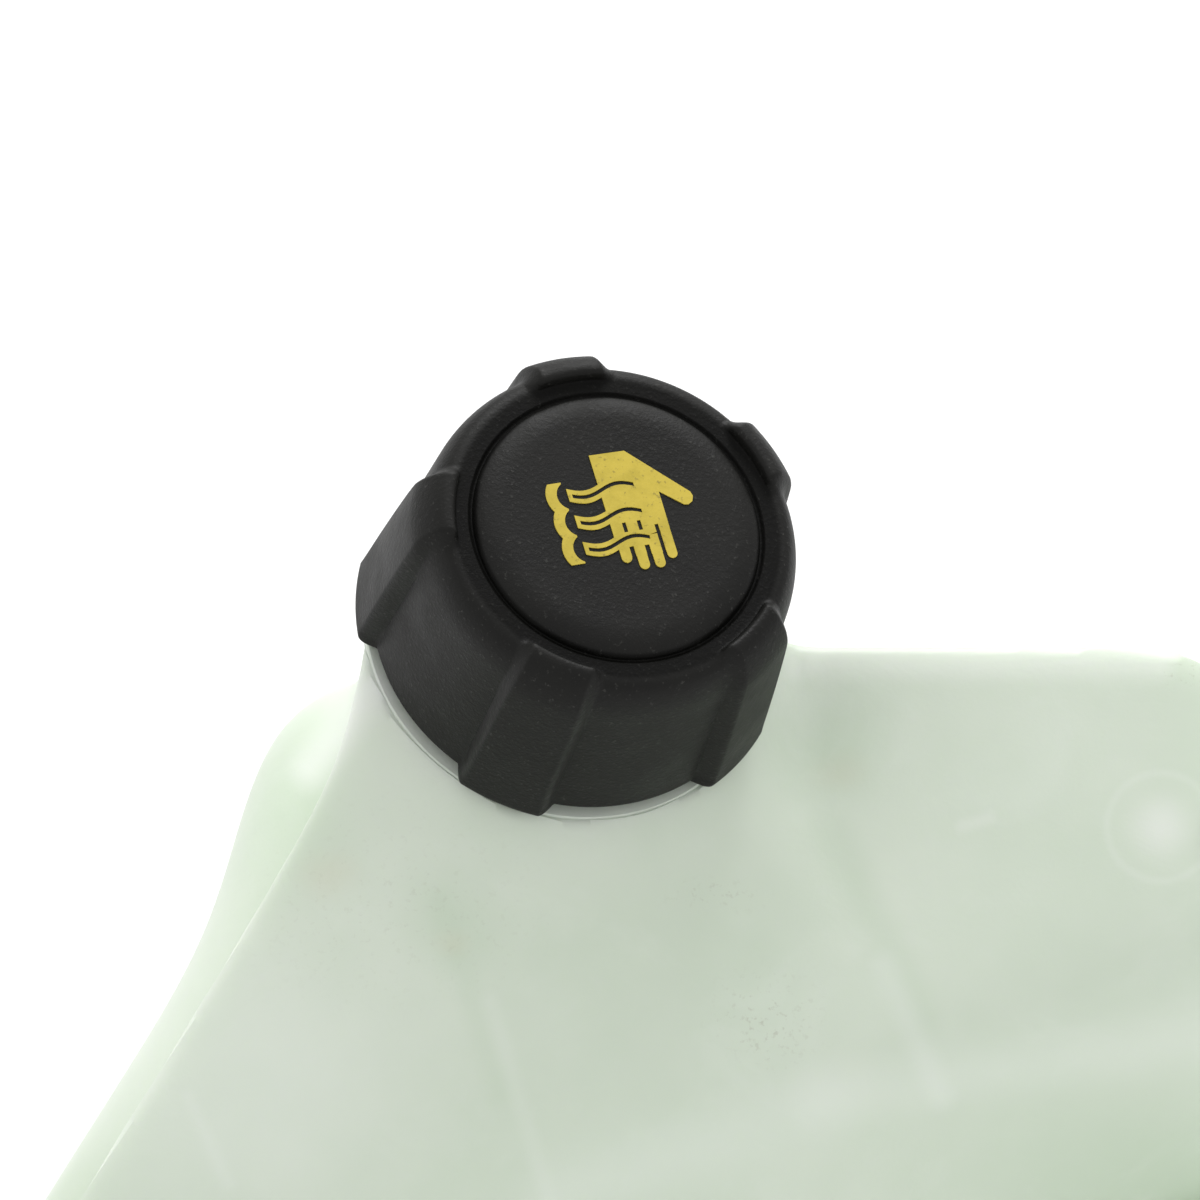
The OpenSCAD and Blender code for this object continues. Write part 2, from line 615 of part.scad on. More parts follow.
module vacuum_seal() color([0.1, 0.1, 0.1]) on_neck() translate([0, 0, plate_low - 1])
    difference() {
        cylinder(r = poppet_r - 0.3, h = 1, $fn = 48);
        translate([0, 0, -1]) cylinder(r = stem_r, h = 3, $fn = 24);
    }

module vacuum_poppet() color([0.75, 0.73, 0.6]) on_neck() {
    translate([0, 0, plate_low - 2.4]) cylinder(r = poppet_r, h = 1.4, $fn = 48);
    translate([0, 0, plate_low - 2]) cylinder(r = stem_r, h = clip_low + clip_h + 0.7 - plate_low + 2, $fn = 24);
}

module vacuum_clip() color([0.7, 0.7, 0.7]) on_neck() translate([0, 0, clip_low]) difference() {
    cylinder(r = 4, h = clip_h, $fn = 32);
    translate([0, 0, -1]) cylinder(r = stem_r, h = 3, $fn = 24);
}

// A coil spring between two heights: wire of round section, its end turns laid flat
module coil(r, wire, low, high, turns, sides) {
    per_turn = 14;
    steps = turns * per_turn;
    span = high - low - 2 * wire;
    points = [for (i = [0:steps])
        let (a = i * 360 / per_turn, t = (i - per_turn) / (steps - 2 * per_turn),
            z = low + wire + span * max(0.02 * i / per_turn, min(1 - 0.02 * (steps - i) / per_turn, t)))
        each [for (j = [0:sides - 1]) let (b = j * 360 / sides, s = r + wire * cos(b))
            [s * cos(a), s * sin(a), z + wire * sin(b)]]];
    last = steps * sides;
    skin_faces = [for (i = [0:steps - 1], j = [0:sides - 1])
        let (a = i * sides + j, b = i * sides + (j + 1) % sides) each [[a, b + sides, b], [a, a + sides, b + sides]]];
    ends = concat([for (j = [1:sides - 2]) [0, j, j + 1]], [for (j = [1:sides - 2]) [last, last + j + 1, last + j]]);
    polyhedron(points, [for (f = concat(skin_faces, ends)) [f[2], f[1], f[0]]], convexity = 10);
}

module relief_spring() color([0.62, 0.62, 0.6]) on_neck()
    coil(relief_spring_r, relief_wire, plate_top, cover_low, 6, 6);

module vacuum_spring() color([0.62, 0.62, 0.6]) on_neck()
    coil(stem_r + 1.1, vacuum_wire, plate_top, clip_low, 5, 4);

// Rubber bush and steel sleeve of a mounting ear
lip = 2;
sleeve_out = bolt_r + 1;
module grommet(at) {
    translate([at.x, at.y, ear_z]) rotate_extrude($fn = 64) polygon([[sleeve_out, -lip], [ear_hole + 2, -lip],
        [ear_hole + 2.4, -lip / 2], [ear_hole + 2.4, 0], [ear_hole, 0], [ear_hole, ear_t], [ear_hole + 2.4, ear_t],
        [ear_hole + 2.4, ear_t + lip / 2], [ear_hole + 2, ear_t + lip], [sleeve_out, ear_t + lip]]);
}
module sleeve(at) {
    translate([at.x, at.y, ear_z - lip - 0.3]) difference() {
        cylinder(r = sleeve_out, h = ear_t + 2 * lip + 0.6, $fn = 48);
        translate([0, 0, -1]) cylinder(r = bolt_r, h = ear_t + 2 * lip + 3, $fn = 48);
    }
}
module left_grommet() color([0.12, 0.12, 0.12]) grommet(left_ear_at);
module right_grommet() color([0.12, 0.12, 0.12]) grommet(right_ear_at);
module left_sleeve() color([0.7, 0.7, 0.68]) sleeve(left_ear_at);
module right_sleeve() color([0.7, 0.7, 0.68]) sleeve(right_ear_at);

upper_shell();
lower_shell();
cap_shell();
hot_symbol();
valve_carrier();
spring_cover();
neck_o_ring();
relief_plate();
relief_seal();
relief_spring();
vacuum_poppet();
vacuum_seal();
vacuum_spring();
vacuum_clip();
left_grommet();
left_sleeve();
right_grommet();
right_sleeve();
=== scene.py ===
import math
import bpy
import numpy as np
from mathutils import Matrix, Vector


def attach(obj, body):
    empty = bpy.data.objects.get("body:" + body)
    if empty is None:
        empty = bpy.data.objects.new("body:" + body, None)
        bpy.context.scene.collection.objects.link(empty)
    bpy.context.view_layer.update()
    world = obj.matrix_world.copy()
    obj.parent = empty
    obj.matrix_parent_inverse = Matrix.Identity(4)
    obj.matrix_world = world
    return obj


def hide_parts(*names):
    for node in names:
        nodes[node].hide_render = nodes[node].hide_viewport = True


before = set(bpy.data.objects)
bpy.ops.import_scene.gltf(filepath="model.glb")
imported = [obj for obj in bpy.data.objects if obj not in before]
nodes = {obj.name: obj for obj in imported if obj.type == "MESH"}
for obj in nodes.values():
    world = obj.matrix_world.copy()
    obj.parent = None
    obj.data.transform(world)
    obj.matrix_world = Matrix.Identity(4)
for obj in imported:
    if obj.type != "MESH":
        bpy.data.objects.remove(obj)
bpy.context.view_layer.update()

# Lower half of the tank: the deep bowl below the weld seam, with its half of the flange, two ears
# and the outlet spigot. Injection-moulded natural polypropylene, slightly green, hot-plate welded
# to the upper half along the flange.
MM = 0.001
NECK = np.array([-8.0, 28.0, 137.0])
LEAN, TURN = math.radians(21.3), math.radians(-53.5)
AXIS = np.array([math.sin(LEAN) * math.cos(TURN), math.sin(LEAN) * math.sin(TURN), math.cos(LEAN)])
SEAM, FLANGE_T, WALL, DRAFT = 57.0, 3.0, 2.6, 0.03
FACE_SLOPE, RIDGE_DROP = math.radians(32), 6.8
FRONT_SKEW, FRONT_REACH, RIGHT_REACH = math.radians(16), 64.5, 96.5
TOWER_REACH, SHOULDER_REACH, SHOULDER_TOP = 29, 51, 22.4
LEFT_TIP = -110.7
HEART = np.array([NECK[0] + 4, NECK[1] - 24, SEAM])
FLARE = np.array([-math.sin(math.radians(22)), -math.cos(math.radians(22)), 0.0])
FLARE = FLARE - (FLARE @ AXIS) * AXIS
FLARE = FLARE / np.linalg.norm(FLARE)


def smooth_max(a, b, k):
    return k * np.logaddexp(a / k, b / k)


def smooth_min(a, b, k):
    t = np.clip(0.5 + 0.5 * (b - a) / k, 0, 1)
    return b * (1 - t) + a * t - k * t * (1 - t)


def ease(a, b, x):
    t = np.clip((x - a) / (b - a), 0, 1)
    return t * t * (3 - 2 * t)


def bent_wall(p, x, y, inward, outward, k):
    dx, dy = NECK[0] - x - p[..., 0], NECK[1] - y - p[..., 1]
    i, o = math.radians(inward), math.radians(outward)
    near, far = dx * math.cos(i) - dy * math.sin(i), dx * math.cos(o) - dy * math.sin(o)
    return -smooth_max(-near, -far, k)


def roof_plane(p, drop):
    q = p - NECK
    return q[..., 2] * math.cos(FACE_SLOPE) - q[..., 1] * math.sin(FACE_SLOPE) + RIDGE_DROP + drop


def front_wall(p):
    across = (p[..., 0] - NECK[0]) * math.sin(FRONT_SKEW)
    back = (p[..., 1] - NECK[1] + FRONT_REACH) * math.cos(FRONT_SKEW)
    return across - back + 2 * DRAFT * (p[..., 2] - SEAM)


def skin(p):
    q = p - NECK
    h = q @ AXIS
    across = q - h[..., None] * AXIS
    r = np.linalg.norm(across, axis=-1)
    up = DRAFT * (p[..., 2] - SEAM)
    half = np.radians(3 + 57 * ease(-0.45, 0.35, (across @ FLARE) / np.maximum(r, 0.001)))
    flare = (r - 29) * np.cos(half) + h * np.sin(half)
    face = smooth_max(smooth_min(roof_plane(p, 0), flare, 10), front_wall(p), 4)
    face = smooth_max(face, q[..., 1] - 7.6 + up, 1.8)
    face = smooth_max(face, q[..., 0] - RIGHT_REACH + up, 3.6)
    face = smooth_max(face, bent_wall(p, 31.5, 20, 12, 39.5, 2), 1.2)
    left = bent_wall(p, SHOULDER_REACH, 18, 8.5, 37, 3.7)
    deck = smooth_max(roof_plane(p, 5), q[..., 2] + SHOULDER_TOP, 5)
    for wall in (left, q[..., 1] - TOWER_REACH + up, q[..., 0] - 34, front_wall(p) + 0.5):
        deck = smooth_max(deck, wall, 8.5)
    three = math.radians(3)
    tower = smooth_max((r - 27.5) * math.cos(three) + h * math.sin(three), h, 1)
    tower = smooth_max(smooth_max(tower, q[..., 1] - TOWER_REACH, 1), left + 4, 3)
    tower = smooth_max(tower, -q[..., 0] - 28, 1.5)
    body = smooth_min(smooth_min(face, deck, 4), tower, 3)
    return smooth_max(body, np.minimum(h + 0.4 - 1.1 * ease(28.6, 29.6, r), 33.5 - r), 0.4)


def bowl(p):
    side = p.copy()
    side[..., 2] = SEAM
    return smooth_max(skin(side) + DRAFT * (SEAM - p[..., 2]), -0.4 - p[..., 2], 5)


def on_surface(field, start, way, want=0.0):
    low, high = np.zeros(way.shape[:-1]), np.full(way.shape[:-1], 190.0)
    for _ in range(24):
        mid = (low + high) / 2
        below = field(start + way * mid[..., None]) < want
        low, high = np.where(below, mid, low), np.where(below, high, mid)
    return start + way * low[..., None]


class Body:
    """Rows of points joined into one mesh."""

    def __init__(self):
        self.points, self.faces, self.count = [], [], 0

    def grid(self, rows, place=None, closed=True, flip=False):
        rows = np.asarray(rows, float)
        k, n = rows.shape[:2]
        flat = rows.reshape(-1, 3)
        if place is not None:
            flat = flat @ np.array(place.to_3x3()).T + np.array(place.translation)
        self.points.append(flat)
        index = np.arange(k * n).reshape(k, n) + self.count
        right = np.roll(index, -1, 1) if closed else index[:, 1:]
        left = index if closed else index[:, :-1]
        quads = np.stack([left[:-1], left[1:], right[1:], right[:-1]], -1).reshape(-1, 4)
        self.faces += (quads[:, ::-1] if flip else quads).tolist()
        self.count += k * n
        return index

    def revolve(self, profile, place, n=64, flip=False):
        a = np.linspace(0, 2 * math.pi, n, endpoint=False)
        prof = np.asarray(profile, float)
        rows = np.stack([prof[:, :1] * np.cos(a), prof[:, :1] * np.sin(a),
                         np.repeat(prof[:, 1:2], n, 1)], -1)
        self.grid(rows, place, flip=flip)

    def made(self, name, angle=38):
        mesh = bpy.data.meshes.new(name)
        mesh.from_pydata((np.concatenate(self.points) * MM).tolist(), [], self.faces)
        mesh.update()
        mesh.validate()
        mesh.shade_smooth()
        mesh.set_sharp_from_angle(angle=math.radians(angle))
        obj = bpy.data.objects.new(name, mesh)
        bpy.context.scene.collection.objects.link(obj)
        return obj


def around(n):
    a = np.linspace(0, 2 * math.pi, n, endpoint=False)
    return np.stack([np.cos(a), np.sin(a), np.zeros(n)], -1)


# One level ring of the skin, held inside the CAD box at the flange's left tip
def level(field, z, want, n):
    ring = on_surface(field, np.array([HEART[0], HEART[1], z]), around(n), want)
    ring[..., 0] = np.maximum(ring[..., 0], LEFT_TIP)
    return ring


def spigot(body, place, r, length):
    bead = r * 0.12 + 0.3
    foot = [(r + 1.2, -1.5), (r + 1.2, 0.3), (r + 1.1, 0.6), (r + 0.5, 1.2), (r + 0.1, 2.0),
            (r, 2.8)]
    barb = [(r, length - 7), (r + bead * 0.9, length - 5.5), (r + bead, length - 5.2),
            (r + bead, length - 4.4), (r + bead * 0.8, length - 4), (r - 0.35, length - 0.7)]
    mouth = [(r - 0.6, length - 0.15), (r - 0.8, length), (r - 1.8, length), (r - 2, length - 0.3),
             (r - 2, 1)]
    body.revolve(foot + barb + mouth, place, 72, flip=True)


def ear(body, at, turn):
    a = np.linspace(0, 2 * math.pi, 120, endpoint=False)
    c, s = np.cos(a), np.sin(a)
    straight = np.minimum(11.2 / np.maximum(abs(s), 1e-6), 18.2 / np.maximum(abs(c), 1e-6))
    reach = np.where(c >= 0, 11.2, straight)
    rows = [np.stack([r * c, r * s, np.full(120, z)], -1) for r, z in (
        (7.2, 0.3), (7.4, 0.0), (reach - 0.5, 0.0), (reach, 0.5), (reach, 3.5), (reach - 0.5, 4.0),
        (7.4, 4.0), (7.2, 3.7), (7.2, 0.3))]
    place = Matrix.Translation((at[0], at[1], 50.8)) @ Matrix.Rotation(turn, 4, "Z")
    body.grid(rows, place, flip=True)
    for y in (-11.2, 8.8):
        web = [[(-18.2, y + w, 0.4), (-4.2, y + w, 0.4), (-18.2, y + w, -13.5)] for w in (0, 2.4)]
        body.grid(web, place)
        for k, (a, b, c) in enumerate(web):
            body.grid([[a, b], [a, c]], place, closed=False, flip=k == 0)


lower = Body()
TURNS = 400
heights = -0.4 + 54.4 * (1 - np.arange(60) / 60.0) ** 2.0
heights = [z for z in heights if z > 0]
rim = [level(skin, z, w, TURNS) for z, w in (
    (57, -WALL), (57, 4.5), (56.6, 5), (54.4, 5), (54, 4.6), (54, 0.6))]
wall_rows = [level(bowl, z, 0, TURNS) for z in [53.4] + heights[1:]]
foot = level(bowl, 0.0, 0, TURNS)
centre = np.repeat(np.array([[HEART[0], HEART[1], 0.0]]), TURNS, 0)
lower.grid(np.stack(rim + wall_rows + [foot, (foot + centre) / 2, centre]))
outlet = on_surface(bowl, np.array([55.0, HEART[1], 19.0]), np.array([[0.0, 1.0, 0.0]]))[0]
spigot(lower, Matrix.Translation(outlet.tolist()) @ Matrix.Rotation(-math.pi / 2, 4, "X"), 9.5, 26)
ear_from = np.array([NECK[0] - 28, HEART[1], SEAM])
left_ear = on_surface(skin, ear_from, np.array([[0.0, 1.0, 0.0]]))[0]
ear_from = np.array([HEART[0], HEART[1] + 8, SEAM])
right_ear = on_surface(skin, ear_from, np.array([[1.0, 0.0, 0.0]]))[0]
ear(lower, left_ear + np.array([0, 17.0, 0]), math.pi / 2)
ear(lower, right_ear + np.array([17.0, 0, 0]), 0)
lower_tank = lower.made("lower_tank")
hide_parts("lower_shell")
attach(lower_tank, "tank")


class Shader:
    """Short names for adding linked nodes to a tree."""

    def __init__(self, tree):
        self.tree = tree

    def add(self, kind, **values):
        node = self.tree.nodes.new("ShaderNode" + kind)
        for key, value in values.items():
            setattr(node, key, value)
        return node

    def put(self, socket, value):
        if isinstance(value, bpy.types.NodeSocket):
            self.tree.links.new(value, socket)
        else:
            socket.default_value = value

    def math(self, op, a, b=0.0, c=0.0, clamp=False):
        node = self.add("Math", operation=op, use_clamp=clamp)
        for i, v in enumerate((a, b, c)):
            self.put(node.inputs[i], v)
        return node.outputs[0]

    def noise(self, vector, scale, detail=4.0, rough=0.55, distort=0.0):
        node = self.add("TexNoise")
        self.put(node.inputs["Vector"], vector)
        for key, v in (("Scale", scale), ("Detail", detail), ("Roughness", rough),
                       ("Distortion", distort)):
            node.inputs[key].default_value = v
        return node.outputs["Fac"]

    def span(self, value, low, high, out_low=0.0, out_high=1.0, smooth=True):
        node = self.add("MapRange", interpolation_type="SMOOTHSTEP" if smooth else "LINEAR")
        for key, v in zip(("Value", "From Min", "From Max", "To Min", "To Max"),
                          (value, low, high, out_low, out_high)):
            self.put(node.inputs[key], v)
        return node.outputs["Result"]

    def mix(self, factor, a, b, mode="MIX"):
        node = self.add("Mix", data_type="RGBA", blend_type=mode)
        self.put(node.inputs[0], factor)
        for socket, v in ((node.inputs[6], a), (node.inputs[7], b)):
            self.put(socket, v if isinstance(v, bpy.types.NodeSocket) or len(v) == 4 else (*v, 1.0))
        return node.outputs[2]

    def vector(self, op, a, b, out=0):
        node = self.add("VectorMath", operation=op)
        self.put(node.inputs[0], a)
        self.put(node.inputs["Scale"] if op == "SCALE" else node.inputs[1], b)
        return node.outputs[out]

    def mask(self, tree, sheet, **values):
        node = self.add("Group")
        node.node_tree = tree
        self.put(node.inputs["Sheet"], sheet)
        for key, value in values.items():
            node.inputs[key.capitalize()].default_value = value
        return node.outputs["Mask"]

    def over(self, colour, mask, amount, tint):
        return self.mix(self.math("MULTIPLY", mask, amount), colour, tint)


def srgb(*values):
    return tuple(((v / 255 + 0.055) / 1.055) ** 2.4 if v > 10 else v / 255 / 12.92 for v in values)


def material(name):
    mat = bpy.data.materials.new(name)
    mat.use_nodes = True
    mat.node_tree.nodes.clear()
    s = Shader(mat.node_tree)
    surface = s.add("BsdfPrincipled")
    out = s.add("OutputMaterial")
    mat.node_tree.links.new(surface.outputs[0], out.inputs["Surface"])
    place = s.add("TexCoord").outputs["Object"]
    return mat, s, surface, place


def bump(s, surface, height, strength, distance):
    node = s.add("Bump")
    node.inputs["Strength"].default_value = strength
    node.inputs["Distance"].default_value = distance
    s.put(node.inputs["Height"], height)
    s.put(surface.inputs["Normal"], node.outputs["Normal"])


TONE = {"deep": srgb(215, 227, 209), "pale": srgb(225, 234, 219), "green": srgb(201, 218, 194),
        "light": srgb(236, 243, 233), "white": srgb(248, 250, 246), "tan": srgb(216, 214, 190),
        "dirt": srgb(150, 146, 122)}


def mask_group(name, inputs):
    tree = bpy.data.node_groups.new(name, "ShaderNodeTree")
    tree.interface.new_socket("Sheet", in_out="INPUT", socket_type="NodeSocketVector")
    for label, kind in inputs:
        tree.interface.new_socket(label, in_out="INPUT", socket_type="NodeSocket" + kind)
    tree.interface.new_socket("Mask", in_out="OUTPUT", socket_type="NodeSocketFloat")
    source, sink = tree.nodes.new("NodeGroupInput"), tree.nodes.new("NodeGroupOutput")
    return tree, Shader(tree), source.outputs, sink.inputs["Mask"]


patch, s, given, result = mask_group("patch", (("Centre", "Vector"), ("Size", "Vector")))
away = s.vector("DIVIDE", s.vector("SUBTRACT", given["Sheet"], given["Centre"]), given["Size"])
s.put(result, s.span(s.vector("LENGTH", away, (0, 0, 0), 1), 0.0, 1.0, 1.0, 0.0))
streak, s, given, result = mask_group(
    "streak", (("Start", "Vector"), ("Along", "Vector"), ("Width", "Float")))
start = s.vector("SUBTRACT", given["Sheet"], given["Start"])
share = s.math("DIVIDE", s.vector("DOT_PRODUCT", start, given["Along"], 1),
               s.vector("DOT_PRODUCT", given["Along"], given["Along"], 1), clamp=True)
off = s.vector("SUBTRACT", start, s.vector("SCALE", given["Along"], share))
off = s.math("DIVIDE", s.vector("LENGTH", off, (0, 0, 0), 1), given["Width"])
s.put(result, s.span(off, 0.0, 1.0, 1.0, 0.0))

tank_mat, s, surface, place = material("tank_polypropylene")
PX_ACROSS, PX_DOWN, SHEET_LEFT, SHEET_TOP = 7100.0, 5020.4, 622.8, 1462.4
GATE = (1161, 827, 0)
flat = s.add("CombineXYZ")
along = s.vector("DOT_PRODUCT", place, (PX_ACROSS, 0, 0), 1)
s.put(flat.inputs[0], s.math("ADD", along, SHEET_LEFT))
along = s.vector("DOT_PRODUCT", place, (0, -PX_DOWN, -PX_DOWN), 1)
s.put(flat.inputs[1], s.math("ADD", along, SHEET_TOP))
cloud = s.noise(place, 16.0, 4.0, 0.6)
veil = s.noise(place, 55.0, 5.0, 0.62, 0.6)
fine = s.noise(place, 900.0, 3.0, 0.6)
sway = s.add("TexNoise")
s.put(sway.inputs["Vector"], place)
sway.inputs["Scale"].default_value = 45.0
swayed = s.vector("SUBTRACT", sway.outputs["Color"], (0.5, 0.5, 0.5))
sheet = s.vector("ADD", flat.outputs[0], s.vector("SCALE", swayed, 46.0))
normal = s.add("NewGeometry").outputs["Normal"]
front = s.span(s.vector("DOT_PRODUCT", normal, (0, -0.7071, 0.7071), 1), -0.1, 0.25)
colour = s.mix(s.span(cloud, 0.32, 0.68), TONE["deep"], TONE["pale"])
# Tints over the face, placed in sheet coordinates: painted shade, painted highlights, the painted
# shade and light of the internal ribs seen through the wall, the gate's painted highlight, and real
# brown stains.
tints_and_painted_light = (
    # Painted shade: darker green over the lower right of the face, where it turns away below the
    # crease, and on the left shoulder.
    (patch, dict(centre=(1190, 1190, 0), size=(430, 190, 999)), 0.85, TONE["green"]),
    (patch, dict(centre=(295, 800, 0), size=(110, 150, 999)), 0.5, TONE["green"]),
    # Painted highlights: a lighter streak along the rounded ridge and a lighter strip on the convex
    # left side wall.
    (streak, dict(start=(800, 664, 0), along=(360, 2, 0), width=26.0), 0.35, TONE["white"]),
    (streak, dict(start=(372, 690, 0), along=(-62, 80, 0), width=34.0), 0.5, TONE["white"]),
    # Painted shade: darker green zones to the right of the cap and on the left of the face.
    (patch, dict(centre=(835, 745, 0), size=(95, 95, 999)), 0.45, TONE["green"]),
    (patch, dict(centre=(455, 915, 0), size=(70, 80, 999)), 0.4, TONE["green"]),
    # Painted light: the lower left of the face made lighter.
    (patch, dict(centre=(250, 1080, 0), size=(230, 200, 999)), 0.4, TONE["light"]),
    (patch, dict(centre=(650, 950, 0), size=(260, 130, 999)), 0.3, TONE["green"]),
    # Painted highlights along the rounded crease of the face.
    (streak, dict(start=(560, 1195, 0), along=(260, -95, 0), width=60.0), 0.3, TONE["light"]),
    (streak, dict(start=(820, 1098, 0), along=(380, -60, 0), width=48.0), 0.3, TONE["light"]),
    # Painted shade and painted light: the darker and lighter lines of the internal ribs seen
    # through the translucent wall.
    (streak, dict(start=(440, 900, 0), along=(60, 190, 0), width=22.0), 0.22, TONE["green"]),
    (streak, dict(start=(490, 1000, 0), along=(60, 200, 0), width=16.0), 0.2, TONE["light"]),
    (streak, dict(start=(830, 830, 0), along=(90, 190, 0), width=34.0), 0.3, TONE["green"]),
    (streak, dict(start=(884, 965, 0), along=(56, 130, 0), width=24.0), 0.35, TONE["light"]),
    (streak, dict(start=(190, 1095, 0), along=(40, 85, 0), width=13.0), 0.3, TONE["light"]),
    # Painted highlight: a lighter disc at the moulding gate, in place of its low raised disc.
    (patch, dict(centre=GATE, size=(46, 44, 999)), 0.45, TONE["white"]),
    (streak, dict(start=(962, 826, 0), along=(28, -8, 0), width=12.0), 0.2, TONE["white"]),
    (patch, dict(centre=(330, 870, 0), size=(46, 40, 999)), 0.3, TONE["tan"]),
    (patch, dict(centre=(840, 772, 0), size=(44, 30, 999)), 0.22, TONE["tan"]),
    (patch, dict(centre=(450, 935, 0), size=(30, 24, 999)), 0.25, TONE["tan"]),
)
for tree, values, amount, tint in tints_and_painted_light:
    where = sheet if tree is patch and values["centre"] != GATE else flat.outputs[0]
    colour = s.over(colour, s.math("MULTIPLY", s.mask(tree, where, **values), front), amount, tint)
# Painted highlight: a lighter ring round the gate, in place of its low raised ring.
from_gate = s.vector("LENGTH", s.vector("SUBTRACT", flat.outputs[0], GATE), (0, 0, 0), 1)
ring = s.span(s.math("ABSOLUTE", s.math("SUBTRACT", from_gate, 54.0)), 0.0, 7.0, 1.0, 0.0)
colour = s.over(colour, ring, 0.22, TONE["light"])
specks = s.span(s.noise(place, 1100.0, 3.0, 0.6), 0.56, 0.7)
for centre, size, amount in (
        ((765, 1015, 0), (75, 75, 999), 0.3), ((715, 893, 0), (75, 22, 999), 0.2),
        ((1186, 672, 0), (40, 24, 999), 0.25), ((400, 900, 0), (230, 160, 999), 0.1)):
    spread = s.mask(patch, sheet, centre=centre, size=size)
    dirty = s.math("MULTIPLY", spread, s.math("MULTIPLY", specks, front))
    colour = s.over(colour, dirty, amount, TONE["dirt"])
colour = s.over(colour, s.span(veil, 0.5, 0.75), 0.18, TONE["light"])
s.put(surface.inputs["Base Color"], colour)
s.put(surface.inputs["Roughness"], s.span(cloud, 0.3, 0.7, 0.4, 0.5))
surface.inputs["Subsurface Weight"].default_value = 0.3
surface.inputs["Subsurface Radius"].default_value = (1.0, 1.1, 0.85)
surface.inputs["Subsurface Scale"].default_value = 0.003
surface.inputs["IOR"].default_value = 1.49
bump(s, surface, s.math("ADD", s.math("MULTIPLY", fine, 0.25), veil), 0.22, 0.0004)
lower_tank.data.materials.append(tank_mat)

# Upper half of the tank: the sloping face that rises into the ridge, the lower shoulder on the
# left, the tower with the tilted platform and the threaded neck, and the vent spigot on the right.
# The same moulded polypropylene; its colour carries painted shade and painted highlights over the
# face, and the faint ring of the moulding gate as a painted highlight in place of its low relief.
upper = Body()
TO_NECK = (Matrix.Translation(NECK.tolist()) @ Matrix.Rotation(TURN, 4, "Z")
           @ Matrix.Rotation(LEAN, 4, "Y"))
dome_from = HEART + np.array([0, 0, FLANGE_T])
pole = (NECK - dome_from) / np.linalg.norm(NECK - dome_from)
ROWS = 170
dome = []
for row in range(ROWS):
    t = row * math.pi / 2 / ROWS
    way = around(TURNS) * math.cos(t) + pole * math.sin(t)
    dome.append(on_surface(skin, dome_from, way / np.linalg.norm(way, axis=-1)[:, None]))
top = np.repeat(on_surface(skin, dome_from, pole[None, :]), TURNS, 0)
rim = [level(skin, z, w, TURNS) for z, w in (
    (57, -WALL), (57, 4.5), (57.4, 5), (59.6, 5), (60, 4.6), (60, 0.6))]
upper.grid(np.stack(rim + dome[1:] + [top]), flip=True)
upper.revolve([(29.0, -1.5), (29.0, -0.25), (28.8, 0), (22.6, 0), (22.4, 0.3), (22.4, 22.5),
               (21.9, 23), (20.3, 23), (19.8, 22.5), (19.8, -8)], TO_NECK, 192, flip=True)
PITCH, THREAD_LOW, THREAD_TURNS, THREAD_RISE = 4, 8.5, 1.9, 1.4
steps = 140
ridge = []
for i in range(steps + 1):
    a = i * THREAD_TURNS * 2 * math.pi / steps
    fade = min(1, 0.15 + 0.85 * min(i, steps - i) / 10)
    z = THREAD_LOW + PITCH * a / 2 / math.pi
    crest = 22.4 + THREAD_RISE * fade
    ridge.append([(r * math.cos(a), r * math.sin(a), z + dz) for r, dz in (
        (22.0, -1.1), (crest, -0.4), (crest, 0.4), (22.0, 1.1))])
upper.grid(ridge, TO_NECK, flip=True)
vent = on_surface(skin, np.array([HEART[0], 10.0, 112.0]), np.array([[1.0, 0.0, 0.0]]))[0]
spigot(upper, Matrix.Translation(vent.tolist()) @ Matrix.Rotation(math.pi / 2, 4, "Y"), 4.0, 22)
upper_tank = upper.made("upper_tank")
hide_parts("upper_shell")
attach(upper_tank, "tank")
upper_tank.data.materials.append(tank_mat)

# Rubber bushes and steel sleeves in the two ears. Moulded EPDM bushes are pulled through the ears'
# holes, and cut steel sleeves inside them keep the bolt from crushing the rubber.
rubber_mat, s, surface, place = material("epdm_rubber")
grey = s.noise(place, 300.0, 4.0, 0.6)
s.put(surface.inputs["Base Color"], s.mix(grey, (0.012, 0.012, 0.012), (0.03, 0.03, 0.028)))
s.put(surface.inputs["Roughness"], s.span(grey, 0.3, 0.7, 0.6, 0.8))
bump(s, surface, grey, 0.2, 0.0002)
steel_mat, s, surface, place = material("zinc_steel")
grain = s.noise(place, 700.0, 5.0, 0.7)
s.put(surface.inputs["Base Color"], s.mix(grain, (0.42, 0.42, 0.41), (0.62, 0.61, 0.58)))
s.put(surface.inputs["Roughness"], s.span(grain, 0.3, 0.7, 0.25, 0.42))
surface.inputs["Metallic"].default_value = 1.0
bump(s, surface, grain, 0.1, 0.0001)


def dress(mat, *names):
    for name in names:
        nodes[name].data.materials.clear()
        nodes[name].data.materials.append(mat)


dress(rubber_mat, "left_grommet", "right_grommet", "neck_o_ring", "relief_seal", "vacuum_seal")
dress(steel_mat, "left_sleeve", "right_sleeve", "relief_plate", "relief_spring", "vacuum_spring",
      "vacuum_clip")

